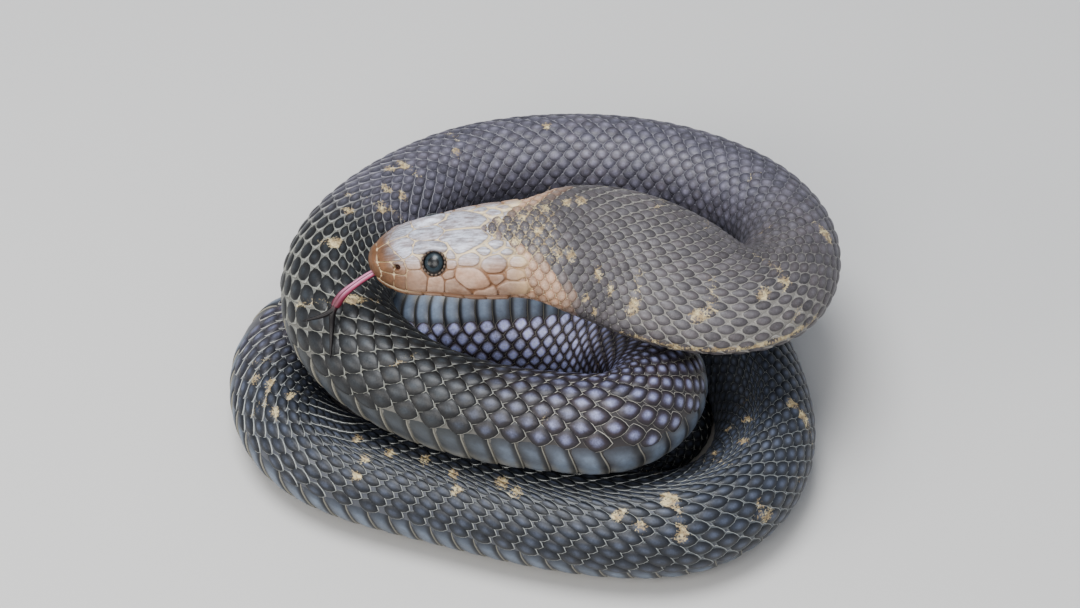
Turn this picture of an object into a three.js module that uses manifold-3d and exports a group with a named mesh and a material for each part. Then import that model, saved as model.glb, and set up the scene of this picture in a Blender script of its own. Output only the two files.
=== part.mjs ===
// A coiled cobra, resting, with its head raised over its coils and its tongue out.
// Millimetres, +Z up, origin on the floor under the middle of the coils.
// The snake looks towards -X, and -Y is the side seen from the front.
import * as THREE from "three";
import { mergeVertices } from "three/addons/utils/BufferGeometryUtils.js";
import Module from "manifold-3d";

const wasm = await Module();
wasm.setup();

// Driving dimensions
const BODY_LENGTH = 969;        // snout to tail tip along the back
const MIDDLE = [-1.815, -6.257];  // centre of the coils' box on the floor, moved to the origin
const HEAD_LENGTH = 40;         // snout to the back of the jaw
const JOINT_GAP = 0.3;          // kept between lengths of the body
const RING_STEP = 5.7;          // spacing of the body's rings
const RING_SIDES = 24;          // facets around the body
const EYE_RADIUS = 4.1;
const EYE_STATION = [15.9, 46]; // distance from the snout, angle from the crown
const EYE_SINK = 3.22;          // centre of the eye under the skin
const SOCKET_GAP = 0.3;
const NOSTRIL_STATION = [6.9, 53];
const NOSTRIL_SIZE = 0.95;
const SHIELD_RISE = 0.34;       // head shields stand this far out of the skin
const SHIELD_SEAM = 0.3;        // half the seam between two shields
const SHIELD_STEP = 3.6;        // longest straight run along a shield's rim
const LIP_DEPTH = 0.55;         // depth of the line of the mouth
const TONGUE_WIDTH = 1.9;
const TONGUE_THICK = 1.1;

// Where the spine runs: x, y, z and the lean of the back towards the outer side, in degrees.
const ROUTE = [
  // head, neck and hood
  [-41.4, -18.8, 65, -3], [-21.5, -17.4, 65.8, 0], [-1.5, -16, 66, 9], [18.5, -15.3, 62, 18],
  [28, -17.5, 59.5, 18], [39.5, -19.5, 56, 14], [51.5, -17.5, 51.5, 8],
  // the bend on the right, and the length at the back
  [60.5, -6.5, 46, 1], [63, 7.5, 42.7, -3], [59, 21.5, 40, -6], [40, 39.5, 37, -12], [3, 47, 36, -20],
  [-19, 42.5, 36, -26],
  // down the left side and across the front, on the second level
  [-40, 24, 38.5, -35], [-50.5, -4, 41.5, -45], [-49, -17, 41.5, -50], [-32.5, -36, 39.5, -54],
  [7, -48, 38.5, -60], [17, -47.7, 38.3, -57],
  // the inner turn, rolling over, and back under the left side
  [24.8, -42.3, 37, -57], [28.8, -32, 34.3, -68], [25.5, -20.5, 30.9, -108], [17, -11.5, 27.5, -139],
  [-6, -4, 24.5, -168], [-34, 4, 15.5, -166], [-44, 7.5, 13.4, -154], [-53, 8.2, 12.4, -132],
  // the coil on the ground
  [-62.7, 3.6, 12.1, -106], [-66.5, -7, 12.1, -83], [-61.3, -28.4, 12.3, -56], [-28, -46.5, 12.5, -48],
  [20, -58, 12.5, -34], [36, -56.5, 12.3, -30], [48, -48.5, 12.1, -26], [55, -36, 11.9, -24],
  [53, -2, 11.2, -20], [39, 29, 10.2, -15], [2, 42.5, 8.7, -8],
  // the tail, turned in under the coils
  [-15, 42.5, 7.8, -5], [-26, 40, 7.1, -3], [-32.8, 31, 6.4, 0], [-27.3, 21.8, 5.8, 0],
  [-14, 19, 5.2, 0], [15, 17.5, 4.4, 0], [37.5, -4, 3.2, 0], [39.8, -19, 2.7, 0], [31.5, -29.5, 2.2, 0],
  [-2, -27, 1.2, 0],
];

// Girth: distance from the snout, half width, height of the back and depth of the belly
// from the widest line, and how far that line lies above the spine.
const GIRTH = [
  [0, 0, 0, 0, -0.2], [0.5, 2.4, 2.2, 1.8, -0.8], [2, 4.5, 3.9, 3, -1.3], [4.6, 6.9, 6, 4.3, -1.6],
  [8.7, 9, 8.2, 5.2, -2], [15.7, 10.3, 9, 5.6, -1.9], [23, 11.9, 9.4, 6.8, -1.5],
  [30, 12.5, 9.4, 7.7, -1.2], [36, 12.9, 9.4, 8.7, -0.7], [40, 14, 9.5, 9.5, -0.2],
  // hood
  [45, 16.3, 9.3, 9, 0], [51, 18, 8.8, 8.5, 0], [62, 18.7, 8.3, 8.1, 0], [76, 18.6, 8.3, 8.3, 0],
  [88, 17.4, 8.8, 8.8, 0], [102, 14.6, 10, 10, 0], [118, 12.8, 11.2, 11.2, 0],
  // body
  [140, 12.1, 11.9, 11.9, 0], [190, 12.1, 12, 12, 0], [255, 12.6, 12.4, 12.4, 0],
  [295, 14.4, 13.8, 13.8, 0], [330, 12.6, 12.4, 12.4, 0], [380, 12.4, 12.3, 12.3, 0],
  [460, 12.5, 12.4, 12.4, 0], [540, 12.8, 12.6, 12.6, 0], [600, 13.4, 13, 13, 0],
  [650, 13.4, 13, 13, 0], [695, 12.7, 12.4, 12.4, 0], [745, 11.9, 11.7, 11.7, 0],
  // tail
  [795, 8.9, 8.8, 8.8, 0], [825, 7.2, 7.1, 7.1, 0], [860, 5.8, 5.7, 5.7, 0],
  [920, 4.2, 4.1, 4.1, 0], [975, 1.3, 1.3, 1.3, 0],
];

// Lengths of the body, each from one distance to the next.
const LENGTHS = [
  ["hood", HEAD_LENGTH, 94], ["bend_front", 94, 122], ["bend_back", 122, 152],
  ["back_right", 152, 206], ["back_left", 206, 258], ["left_side", 258, 296],
  ["left_corner", 296, 332], ["front_upper", 332, 378], ["turn_front", 378, 403],
  ["turn_back", 403, 430], ["inner", 430, 482], ["crossing", 482, 516], ["ground_left", 516, 562],
  ["ground_front", 562, 632], ["ground_corner", 632, 672], ["ground_right", 672, 730],
  ["ground_back", 730, 798], ["tail_root", 798, 842], ["tail_middle", 842, 900],
  ["tail_tip", 900, BODY_LENGTH],
];

// Colours
const SLATE = 0x59606c;
const SLATE_DARK = 0x4b525e;
const HOOD_GREY = 0x7b7674;
const HEAD_TAN = 0xb4906f;
const EYE_BLACK = 0x10151c;
const TONGUE_PINK = 0xb0607f;

const DEG = Math.PI / 180;
const UP = new THREE.Vector3(0, 0, 1);

// A natural cubic spline through rows of values.
function naturalSpline(xs, rows) {
  const n = xs.length;
  const width = rows[0].length;
  const h = xs.slice(1).map((x, i) => x - xs[i]);
  const m = xs.map(() => new Array(width).fill(0));
  const c = new Array(n).fill(0);
  for (let i = 1; i < n - 1; i++) {
    const pivot = 2 * (h[i - 1] + h[i]) - h[i - 1] * c[i - 1];
    c[i] = h[i] / pivot;
    for (let k = 0; k < width; k++) {
      const slope = (rows[i + 1][k] - rows[i][k]) / h[i] - (rows[i][k] - rows[i - 1][k]) / h[i - 1];
      m[i][k] = (6 * slope - h[i - 1] * m[i - 1][k]) / pivot;
    }
  }
  for (let i = n - 2; i > 0; i--) {
    for (let k = 0; k < width; k++) m[i][k] -= c[i] * m[i + 1][k];
  }
  return (x) => {
    let i = 0;
    while (i < n - 2 && x >= xs[i + 1]) i++;
    const d = x - xs[i];
    const e = xs[i + 1] - x;
    return rows[i].map((y, k) => (m[i][k] * e ** 3 + m[i + 1][k] * d ** 3) / (6 * h[i])
      + (y / h[i] - m[i][k] * h[i] / 6) * e
      + (rows[i + 1][k] / h[i] - m[i + 1][k] * h[i] / 6) * d);
  };
}

// The spine by chord length, then by distance along it.
const chord = [0];
for (let i = 1; i < ROUTE.length; i++) {
  chord.push(chord[i - 1] + Math.hypot(...[0, 1, 2].map((k) => ROUTE[i][k] - ROUTE[i - 1][k])));
}
const spine = naturalSpline(chord, ROUTE);
const FINE = 8000;
const walked = [0];
let last = spine(0);
for (let i = 1; i <= FINE; i++) {
  const now = spine(chord[chord.length - 1] * i / FINE);
  walked.push(walked[i - 1] + Math.hypot(now[0] - last[0], now[1] - last[1], now[2] - last[2]));
  last = now;
}
function spineAt(s) {
  let low = 0;
  let high = FINE;
  while (high - low > 1) {
    const mid = (low + high) >> 1;
    if (walked[mid] > s) high = mid;
    else low = mid;
  }
  const part = (s - walked[low]) / (walked[high] - walked[low]);
  return chord[chord.length - 1] * (low + part) / FINE;
}
const girth = naturalSpline(GIRTH.map((row) => Math.sqrt(row[0])), GIRTH.map((row) => row.slice(1)));

// Spine point with its directions: along the body, out of the back, and to the outer side.
function frameAt(s) {
  const u = spineAt(s);
  const row = spine(u);
  const ahead = new THREE.Vector3(...spine(u + 0.01));
  const along = ahead.sub(new THREE.Vector3(...spine(u - 0.01))).normalize();
  const back = UP.clone().addScaledVector(along, -along.z).normalize();
  const side = along.clone().cross(back);
  back.applyAxisAngle(along, row[3] * DEG);
  side.applyAxisAngle(along, row[3] * DEG);
  return { point: new THREE.Vector3(row[0], row[1], row[2]), along, back, side };
}

// A point of the skin at a distance from the snout and an angle from the crown of the back.
function skin(s, degrees, sink = 0) {
  const { point, back, side } = frameAt(s);
  const [width, top, belly, lift] = girth(Math.sqrt(s));
  const k = Math.min(Math.max((44 - s) / 14, 0), 1);
  const boxy = k * k * (3 - 2 * k);
  const c = Math.cos(degrees * DEG);
  const d = Math.sin(degrees * DEG);
  const power = 2 / (c >= 0 ? 2 + 0.4 * boxy : 2 + 0.2 * boxy);
  const out = Math.sign(d) * Math.abs(d) ** power * Math.max(width - sink, 0);
  const height = Math.sign(c) * Math.abs(c) ** power * Math.max((c >= 0 ? top : belly) - sink, 0);
  const place = point.addScaledVector(side, out).addScaledVector(back, height + lift);
  place.z = Math.max(place.z, 0);
  return place;
}

// Outward direction of the skin there.
function outward(s, degrees) {
  const ahead = skin(s + 0.2, degrees).sub(skin(Math.max(s - 0.2, 0.01), degrees));
  const around = skin(s, degrees + 2).sub(skin(s, degrees - 2));
  return around.cross(ahead).normalize();
}

// A closed body from rings of points, with its ends closed by fans.
function ringed(rings) {
  const sides = rings[0].length;
  const points = rings.flat();
  const faces = [];
  for (let i = 0; i < rings.length - 1; i++) {
    for (let j = 0; j < sides; j++) {
      const a = i * sides + j;
      const b = i * sides + (j + 1) % sides;
      faces.push(a, b, a + sides, b, b + sides, a + sides);
    }
  }
  for (const end of [0, rings.length - 1]) {
    const middle = new THREE.Vector3();
    rings[end].forEach((p) => middle.addScaledVector(p, 1 / sides));
    middle.z = Math.max(middle.z, 0);
    points.push(middle);
    for (let j = 0; j < sides; j++) {
      const a = end * sides + j;
      const b = end * sides + (j + 1) % sides;
      if (end === 0) faces.push(b, a, points.length - 1);
      else faces.push(a, b, points.length - 1);
    }
  }
  return solidGeometry(points, faces);
}

// A geometry of shared points, with its faces turned outwards.
function solidGeometry(points, faces) {
  let volume = 0;
  for (let i = 0; i < faces.length; i += 3) {
    const [a, b, c] = [points[faces[i]], points[faces[i + 1]], points[faces[i + 2]]];
    volume += a.dot(b.clone().cross(c));
  }
  const turned = volume < 0
    ? faces.map((_, i) => faces[i - (i % 3) + 2 - (i % 3)])
    : faces;
  const geometry = new THREE.BufferGeometry();
  const numbers = points.flatMap((p) => [p.x, p.y, p.z]);
  geometry.setAttribute("position", new THREE.Float32BufferAttribute(numbers, 3));
  geometry.setIndex(turned);
  return geometry;
}

function toManifold(geometry) {
  const clean = new THREE.BufferGeometry();
  clean.setAttribute("position", geometry.getAttribute("position").clone());
  clean.setIndex(geometry.getIndex() ? geometry.getIndex().clone() : null);
  const merged = mergeVertices(clean, 1e-4);
  return new wasm.Manifold(new wasm.Mesh({
    numProp: 3,
    vertProperties: new Float32Array(merged.getAttribute("position").array),
    triVerts: new Uint32Array(merged.getIndex().array),
  }));
}

// Only the largest closed surface is kept.
function fromManifold(solid) {
  const pieces = solid.simplify(0.03).decompose();
  const largest = pieces.reduce((a, b) => (a.volume() > b.volume() ? a : b));
  const mesh = largest.getMesh();
  const geometry = new THREE.BufferGeometry();
  const step = mesh.numProp;
  const points = [];
  for (let i = 0; i < mesh.vertProperties.length; i += step) {
    points.push(...mesh.vertProperties.slice(i, i + 3));
  }
  geometry.setAttribute("position", new THREE.Float32BufferAttribute(points, 3));
  geometry.setIndex([...mesh.triVerts]);
  return geometry;
}

// Rings of the body between two distances, a joint's gap in from each.
function bodyLength(from, to) {
  const start = from + JOINT_GAP / 2;
  const end = to - (to >= BODY_LENGTH ? 0 : JOINT_GAP / 2);
  const count = Math.max(2, Math.round((end - start) / RING_STEP));
  const sides = to > 842 ? RING_SIDES - 10 : RING_SIDES;
  const rings = [];
  for (let i = 0; i <= count; i++) {
    const s = start + (end - start) * i / count;
    const ring = [];
    for (let j = 0; j < sides; j++) ring.push(skin(s, 360 * j / sides));
    rings.push(ring);
  }
  return ringed(rings);
}

// Head: the skin from the snout to the neck, with the line of the mouth sunk in along both sides.
const MOUTH_END = 31;
function mouthAngle(s) {
  return 100 + 8 * Math.exp(-s / 3) - 2 * Math.sin(Math.PI * Math.min(s / MOUTH_END, 1));
}
function headSkin() {
  const stations = [0.12, 0.5, 1.2, 2.2, 3.6, 5.4, 7.6, 10, 12.6, 15.4, 18.4, 21.6, 25, 28, 31, 34, 37];
  stations.push(HEAD_LENGTH - JOINT_GAP / 2);
  const rings = stations.map((s) => {
    const lip = mouthAngle(s);
    const half = [0, 14, 28, 41, 54, 67, 79, 89, lip - 3, lip, lip + 3, 116, 130, 146, 163];
    const angles = [...half, 180, ...half.slice(1).reverse().map((a) => -a)];
    return angles.map((a) => {
      const depth = s < MOUTH_END && Math.abs(a) === lip ? LIP_DEPTH * Math.min(1, s / 2) : 0;
      return skin(s, a, depth);
    });
  });
  return ringed(rings);
}

// Head shields of the near side as distance and angle; the far side mirrors them.
const SINGLE_SHIELDS = {
  rostral: [[0.5, -75], [2, -66], [2.1, -41], [2.3, 0], [2.1, 41], [2, 66], [0.5, 75], [0.35, 0]],
  frontal: [[9.8, 0], [11.8, 9], [17, 11], [19.1, 0], [17, -11], [11.8, -9]],
};
const PAIRED_SHIELDS = {
  internasal: [[2.4, 0], [5.1, 0], [6.7, 24], [8.6, 40], [5.4, 42], [2.2, 41]],
  prefrontal: [[5.1, 0], [9.8, 0], [11.8, 9], [11.2, 16], [10.9, 31], [8.6, 40], [6.7, 24]],
  supraocular: [[11.8, 9], [17, 11], [19.2, 17], [19.8, 26], [18.9, 32], [15.8, 31], [13.2, 34],
    [10.9, 31], [11.2, 16]],
  parietal: [[19.1, 0], [27.3, 0], [28.5, 4], [29.5, 9], [28.4, 16], [25.8, 25], [22.8, 33],
    [21.4, 34], [20.4, 26], [19.4, 17], [17, 11]],
  nasal_front: [[2.2, 41], [5.4, 42], [6.3, 52], [6.1, 68], [2.9, 68]],
  nasal_back: [[5.4, 42], [8.6, 40], [8.9, 48], [9.4, 58], [9, 67], [6.1, 68], [6.3, 52]],
  preocular: [[8.6, 40], [10.9, 31], [12.5, 38], [12.9, 50], [12.9, 57], [9.4, 58], [8.9, 48]],
  postocular_upper: [[19.8, 26], [20.4, 26], [21.4, 34], [21.4, 41], [18.9, 41], [18.9, 32]],
  postocular_middle: [[18.9, 41], [21.4, 41], [21.6, 50], [20.9, 56], [18.8, 57]],
  postocular_lower: [[17.4, 66], [18.8, 57], [20.9, 56], [20.6, 69], [18.2, 74]],
  temple_one: [[21.6, 41], [22.6, 34], [25.4, 29.5], [27.1, 36], [26.8, 45], [25.7, 50.5],
    [21.7, 50.5]],
  temple_upper: [[25.7, 26], [28.1, 21.5], [29.8, 27], [29, 35], [27.4, 36]],
  temple_crown: [[28.6, 18.5], [30.3, 12.5], [32.7, 16], [32.6, 22], [30.4, 28]],
  temple_rear: [[31.2, 31], [33.1, 24], [34.8, 28], [34.4, 34], [32.8, 36]],
  temple_two: [[27, 45], [28.3, 36.5], [31.2, 32], [33.1, 41], [32.8, 52], [31.3, 59.5],
    [28.4, 60.5], [26.8, 51]],
  temple_three: [[33.4, 41], [34.5, 35], [36.8, 36], [37.7, 44], [36.3, 51], [33.6, 50]],
  temple_small: [[28.4, 61.5], [32.2, 61], [32.4, 69], [30.3, 80], [29.1, 75]],
  temple_four: [[32.6, 56], [34, 51], [36.7, 54.5], [37.2, 63], [34.8, 71], [32.6, 69]],
  labial_one: [[3.1, 80], [2.9, 68], [6.1, 68], [5.8, 99], [2.2, 104]],
  labial_two: [[6.1, 68], [9, 67], [8.7, 98], [5.8, 99]],
  labial_three: [[9, 67], [9.4, 58], [12.9, 57], [14.2, 70], [13.4, 98], [8.7, 98]],
  labial_four: [[14.2, 70], [17.4, 66], [18.2, 74], [17.8, 97], [13.4, 98]],
  labial_five: [[18.2, 74], [20.6, 69], [22, 79], [23.5, 86], [24.5, 91], [24.6, 97], [17.8, 97]],
  labial_six: [[21.2, 52], [26, 51.5], [27.9, 61], [29.1, 76], [28.8, 80.5], [27, 85], [23.5, 86],
    [22, 79], [20.6, 69]],
  labial_seven: [[24.5, 91], [25.5, 86.5], [27.2, 85.5], [28.9, 81], [30.2, 81], [30.6, 90],
    [30.7, 97], [24.6, 97]],
  labial_eight: [[30.2, 81], [32.7, 72], [37.2, 70.5], [37.8, 80], [37.4, 92], [33, 97],
    [30.7, 97], [30.6, 90]],
};

// A plate seated in the skin: its outline drawn in from the seams, its middle raised.
function shield(corners) {
  const middle = [0, 1].map((n) => corners.reduce((sum, c) => sum + c[n] / corners.length, 0));
  const centre = skin(...middle);
  const rim = [];
  corners.forEach((corner, i) => {
    const next = corners[(i + 1) % corners.length];
    const reach = skin(...corner).distanceTo(skin(...next));
    const steps = Math.ceil(reach / SHIELD_STEP);
    for (let k = 0; k < steps; k++) {
      rim.push([0, 1].map((n) => corner[n] + (next[n] - corner[n]) * k / steps));
    }
  });
  const layer = (inset, rise) => rim.map(([s, a]) => {
    const reach = skin(s, a).distanceTo(centre);
    const pull = Math.min(inset / reach, 0.7);
    const at = [s + (middle[0] - s) * pull, a + (middle[1] - a) * pull];
    return skin(...at).addScaledVector(outward(...at), rise);
  });
  const rings = [layer(SHIELD_SEAM, -1.1), layer(SHIELD_SEAM + 0.25, SHIELD_RISE)];
  const points = rings.flat();
  const faces = [];
  const n = rim.length;
  for (let j = 0; j < n; j++) {
    const next = (j + 1) % n;
    faces.push(j, next, n + j, next, n + next, n + j);
  }
  points.push(centre.clone().addScaledVector(outward(...middle), -1.1));
  points.push(centre.clone().addScaledVector(outward(...middle), SHIELD_RISE * 1.15));
  for (let j = 0; j < n; j++) {
    const next = (j + 1) % n;
    faces.push(next, j, 2 * n, n + j, n + next, 2 * n + 1);
  }
  return solidGeometry(points, faces);
}

function mirrored(corners) {
  return corners.map(([s, a]) => [s, -a]).reverse();
}

// Eye: a sphere in a socket a little wider than itself.
function eyeCentre(sign) {
  const [s, a] = EYE_STATION;
  return skin(s, sign * a).addScaledVector(outward(s, sign * a), -EYE_SINK);
}
function sphere(centre, radius, columns, rows) {
  const geometry = new THREE.SphereGeometry(radius, columns, rows);
  geometry.translate(centre.x, centre.y, centre.z);
  return geometry;
}

function buildHead() {
  let head = toManifold(headSkin());
  for (const corners of Object.values(SINGLE_SHIELDS)) head = head.add(toManifold(shield(corners)));
  for (const corners of Object.values(PAIRED_SHIELDS)) {
    head = head.add(toManifold(shield(corners)));
    head = head.add(toManifold(shield(mirrored(corners))));
  }
  for (const sign of [1, -1]) {
    head = head.subtract(toManifold(sphere(eyeCentre(sign), EYE_RADIUS + SOCKET_GAP, 20, 14)));
    const [s, a] = NOSTRIL_STATION;
    const hole = sphere(skin(s, sign * a), NOSTRIL_SIZE, 10, 8);
    head = head.subtract(toManifold(hole));
  }
  return fromManifold(head);
}

// Tongue: a flat ribbon out of the rostral notch, forked, each tine tapering to a point.
const TONGUE_ROOT = [-41.5, -22, 62.5];
const TONGUE_BEND = [[-44.6, -23.9, 61.4], [-47.7, -26.6, 60.2], [-49.5, -28.9, 58.4]];
const TINE_NEAR = [[-50, -31.4, 55.2], [-50.2, -34, 52], [-50.4, -36.5, 49]];
const TINE_FAR = [[-51.4, -29.8, 57.4], [-54.2, -30.4, 56.6], [-57.1, -30.8, 56]];
function ribbon(points, widthAt, thickAt) {
  const curve = new THREE.CatmullRomCurve3(points.map((p) => new THREE.Vector3(...p)));
  const rings = [];
  const count = 9;
  for (let i = 0; i <= count; i++) {
    const t = i / count;
    const along = curve.getTangent(t);
    const across = new THREE.Vector3(0.1, -0.7, 0.7).cross(along).normalize();
    const flat = along.clone().cross(across);
    const middle = curve.getPoint(t);
    const ring = [];
    for (let j = 0; j < 6; j++) {
      const angle = 2 * Math.PI * j / 6;
      ring.push(middle.clone()
        .addScaledVector(across, Math.cos(angle) * widthAt(t) / 2)
        .addScaledVector(flat, Math.sin(angle) * thickAt(t) / 2));
    }
    rings.push(ring);
  }
  return ringed(rings);
}
function buildTongue() {
  const stem = ribbon([TONGUE_ROOT, ...TONGUE_BEND], () => TONGUE_WIDTH, () => TONGUE_THICK);
  const fork = TONGUE_BEND[1];
  const tine = (tips) => ribbon([fork, TONGUE_BEND[2], ...tips],
    (t) => 1.3 - 0.75 * t, (t) => 0.95 - 0.4 * t);
  return fromManifold(toManifold(stem).add(toManifold(tine(TINE_NEAR))).add(toManifold(tine(TINE_FAR))));
}

const cobra = new THREE.Group();
cobra.position.set(-MIDDLE[0], -MIDDLE[1], 0);
function addMesh(name, geometry, color, roughness) {
  const flat = geometry.index ? geometry.toNonIndexed() : geometry;
  flat.deleteAttribute("normal");
  flat.deleteAttribute("uv");
  const mesh = new THREE.Mesh(
    mergeVertices(flat, 1e-4),
    new THREE.MeshStandardMaterial({ color, roughness, metalness: 0 }),
  );
  mesh.name = name;
  cobra.add(mesh);
}

addMesh("head", buildHead(), HEAD_TAN, 0.45);
addMesh("eye_near", sphere(eyeCentre(1), EYE_RADIUS, 18, 12), EYE_BLACK, 0.08);
addMesh("eye_far", sphere(eyeCentre(-1), EYE_RADIUS, 18, 12), EYE_BLACK, 0.08);
addMesh("tongue", buildTongue(), TONGUE_PINK, 0.35);
for (const [name, from, to] of LENGTHS) {
  const color = name === "hood" ? HOOD_GREY : (name.startsWith("ground") ? SLATE_DARK : SLATE);
  addMesh(name, bodyLength(from, to), color, 0.5);
}

export default cobra;
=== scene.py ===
"""Looks of the coiled cobra: one skin, its scales and belly plates, head shields, eyes and tongue.

Lengths are millimetres in the source's own frame until a mesh is made. Then they become metres and
move by MIDDLE, which puts the coils over the origin. A place on the animal is (s, a): s is the
distance from the snout along the spine, a the angle round the body from the middle of the back.
"""

import bpy
import numpy as np
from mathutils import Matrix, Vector


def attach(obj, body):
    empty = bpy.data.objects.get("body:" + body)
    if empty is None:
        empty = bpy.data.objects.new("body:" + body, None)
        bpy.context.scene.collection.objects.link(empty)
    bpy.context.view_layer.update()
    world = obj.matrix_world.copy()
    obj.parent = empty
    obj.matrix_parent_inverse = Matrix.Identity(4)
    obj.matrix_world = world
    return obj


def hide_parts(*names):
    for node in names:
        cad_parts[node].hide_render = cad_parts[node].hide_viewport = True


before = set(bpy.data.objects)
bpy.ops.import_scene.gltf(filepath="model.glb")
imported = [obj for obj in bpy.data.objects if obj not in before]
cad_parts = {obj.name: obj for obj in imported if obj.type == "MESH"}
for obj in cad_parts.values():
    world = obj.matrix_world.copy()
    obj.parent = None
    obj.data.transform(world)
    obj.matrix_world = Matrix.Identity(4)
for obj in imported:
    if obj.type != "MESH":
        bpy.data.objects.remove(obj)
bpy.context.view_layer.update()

# the animal's sizes
BODY_LENGTH = 969.0
MIDDLE = np.array([-1.815, -6.257, 0.0])
HEAD_END = 44.0            # the fine part of the skin ends here
SHIELDS_END = 37.6
HEAD_RADIUS = 10.5         # turns an angle on the head into millimetres, where a rough one will do
THROAT_END = 52.0          # the belly plates begin here
EYE_STATION = (15.9, 46.0)
EYE_RADIUS, EYE_SINK = 4.1, 3.22
NOSTRIL = (6.9, 53.0)
MOUTH_END = 31.0
COAT_DEPTH = 0.5           # the skin lies this far under the tops of the scales
FLOOR_GAP = 0.04
CORNER_BLEND = 0.22        # rounding of the head shields' corners
SEED = 11

# the scales, in lengths and widths of their own place, in degrees and in millimetres
HALF_LENGTH, HALF_WIDTH = 0.53, 0.9
LEAN, LEAN_OF_SLANT = 7, 14
LOWEST, DOME, DOME_OF_SIZE = 0.12, 0.08, 0.14
HIND_LIFT, HIND_LIFT_OF_PITCH = 0.05, 0.02
OUTLINE_POWER, REAR_POWER, FRONT_POWER = 1.35, 1.75, 1.9


def numbers(text):
    """A table of numbers, from text with its rows apart by commas."""
    return np.array([row.split() for row in text.split(",")], float)


# The spine: x, y, z and lean of the back.
ROUTE = numbers(
    # head, neck and hood
    "-41.4 -18.8 65 -3, -21.5 -17.4 65.8 0, -1.5 -16 66 9, 18.5 -15.3 62 18, 28 -17.5 59.5 18, "
    "39.5 -19.5 56 14, 51.5 -17.5 51.5 8, "
    # the bend on the right, and the length at the back
    "60.5 -6.5 46 1, 63 7.5 42.7 -3, 59 21.5 40 -6, 40 39.5 37 -12, 3 47 36 -20, -19 42.5 36 -26, "
    # down the left side and across the front, on the second level
    "-40 24 38.5 -35, -50.5 -4 41.5 -45, -49 -17 41.5 -50, -32.5 -36 39.5 -54, 7 -48 38.5 -60, "
    "17 -47.7 38.3 -57, "
    # the inner turn, rolling over, and back under the left side
    "24.8 -42.3 37 -57, 28.8 -32 34.3 -68, 25.5 -20.5 30.9 -108, 17 -11.5 27.5 -139, "
    "-6 -4 24.5 -168, -34 4 15.5 -166, -44 7.5 13.4 -154, -53 8.2 12.4 -132, "
    # the coil on the ground
    "-62.7 3.6 12.1 -106, -66.5 -7 12.1 -83, -61.3 -28.4 12.3 -56, -28 -46.5 12.5 -48, "
    "20 -58 12.5 -34, 36 -56.5 12.3 -30, 48 -48.5 12.1 -26, 55 -36 11.9 -24, 53 -2 11.2 -20, "
    "39 29 10.2 -15, 2 42.5 8.7 -8, "
    # the tail, turned in under the coils
    "-15 42.5 7.8 -5, -26 40 7.1 -3, -32.8 31 6.4 0, -27.3 21.8 5.8 0, -14 19 5.2 0, "
    "15 17.5 4.4 0, 37.5 -4 3.2 0, 39.8 -19 2.7 0, 31.5 -29.5 2.2 0, -2 -27 1.2 0")

# Distance, half width, height of the back, depth of the belly, and rise of the widest line.
GIRTH = numbers("""
    0 0 0 0 -0.2, 0.5 2.4 2.2 1.8 -0.8, 2 4.5 3.9 3 -1.3, 4.6 6.9 6 4.3 -1.6, 8.7 9 8.2 5.2 -2,
    15.7 10.3 9 5.6 -1.9, 23 11.9 9.4 6.8 -1.5, 30 12.5 9.4 7.7 -1.2, 36 12.9 9.4 8.7 -0.7,
    40 14 9.5 9.5 -0.2, 45 16.3 9.3 9 0, 51 18 8.8 8.5 0, 62 18.7 8.3 8.1 0, 76 18.6 8.3 8.3 0,
    88 17.4 8.8 8.8 0, 102 14.6 10 10 0, 118 12.8 11.2 11.2 0, 140 12.1 11.9 11.9 0,
    190 12.1 12 12 0, 255 12.6 12.4 12.4 0, 295 14.4 13.8 13.8 0, 330 12.6 12.4 12.4 0,
    380 12.4 12.3 12.3 0, 460 12.5 12.4 12.4 0, 540 12.8 12.6 12.6 0, 600 13.4 13 13 0,
    650 13.4 13 13 0, 695 12.7 12.4 12.4 0, 745 11.9 11.7 11.7 0, 795 8.9 8.8 8.8 0,
    825 7.2 7.1 7.1 0, 860 5.8 5.7 5.7 0, 920 4.2 4.1 4.1 0, 975 1.3 1.3 1.3 0""")

# Length of one row of scales along the spine, and how many rows lie on each side of it.
SCALE_PITCH = numbers("""
    20 1.9, 29 2.2, 38 2.5, 48 2.9, 60 3.4, 80 3.9, 100 4.1, 200 4.4, 240 4.5, 262 5.5, 300 5.7,
    320 6, 366 6, 376 5.4, 384 4.5, 392 3.7, 404 3.5, 420 3.7, 445 3.8, 475 4.2, 516 4.9, 560 5.2,
    600 5.5, 630 6, 650 5.3, 672 4.4, 700 4.4, 750 4.7, 800 4.4, 860 4.1, 920 3.6, 970 2.6""")
ROWS_A_SIDE = numbers("""
    20 15, 40 15, 48 15, 62 15, 88 14.4, 104 12.4, 118 10.8, 200 10.4, 240 11.6, 262 12.6, 288 12,
    312 10, 330 9.4, 376 9.4, 400 11.4, 430 12, 510 12, 540 14, 560 15.5, 615 15.5, 640 14,
    700 13.6, 740 11, 770 9.4, 800 7, 850 5.4, 900 4.4, 970 3.6""")
# Share of a scale's reach that is its raised middle, and how wide and pale the skin round it is.
RAISED_SHARE = numbers("""
    20 0.9, 42 0.84, 54 0.74, 100 0.72, 118 0.78, 245 0.78, 262 0.68, 290 0.68, 314 0.84, 335 0.9,
    350 0.94, 480 0.94, 530 0.82, 600 0.76, 680 0.78, 720 0.82, 970 0.86""")
OPEN_SKIN = numbers("""
    20 0.2, 45 0.4, 58 0.95, 100 0.95, 118 0.5, 230 0.5, 290 1, 322 0.8, 345 0.1, 480 0.1, 530 0.5,
    600 0.7, 680 0.7, 740 0.3, 970 0.2""")
# Angle at which the belly plates begin, by distance: the throat has scales all round.
BELLY_ANGLE = numbers("20 179, 42 179, 54 140, 80 136, 750 136, 970 138")

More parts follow.
